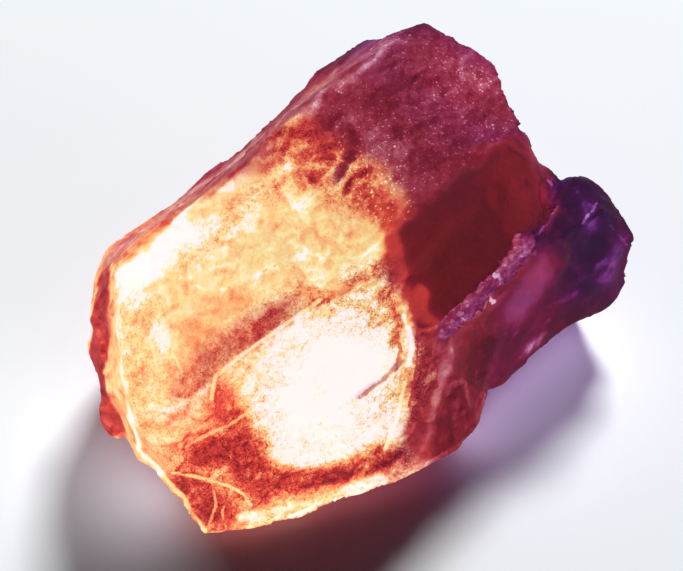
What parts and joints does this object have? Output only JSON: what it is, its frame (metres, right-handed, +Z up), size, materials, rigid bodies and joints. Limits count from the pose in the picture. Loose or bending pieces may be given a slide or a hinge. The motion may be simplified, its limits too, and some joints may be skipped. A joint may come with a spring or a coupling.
{
  "type": "rough ametrine",
  "caption": "Rough two-coloured quartz fragment, golden citrine at one end and violet amethyst at the other, with conchoidal fracture faces and a druse ledge.",
  "frame": {"origin": "under the middle of the stone, on the surface it rests on", "axes": "+X along the stone from the citrine end to the amethyst end, +Z up"},
  "size_m": [0.0446, 0.0308, 0.0198],
  "materials": {
    "ametrine": "clear to frosted quartz, gold to violet"
  },
  "bodies": {
    "root": {"ametrine_crystal": "ametrine"}
  },
  "joints": []
}
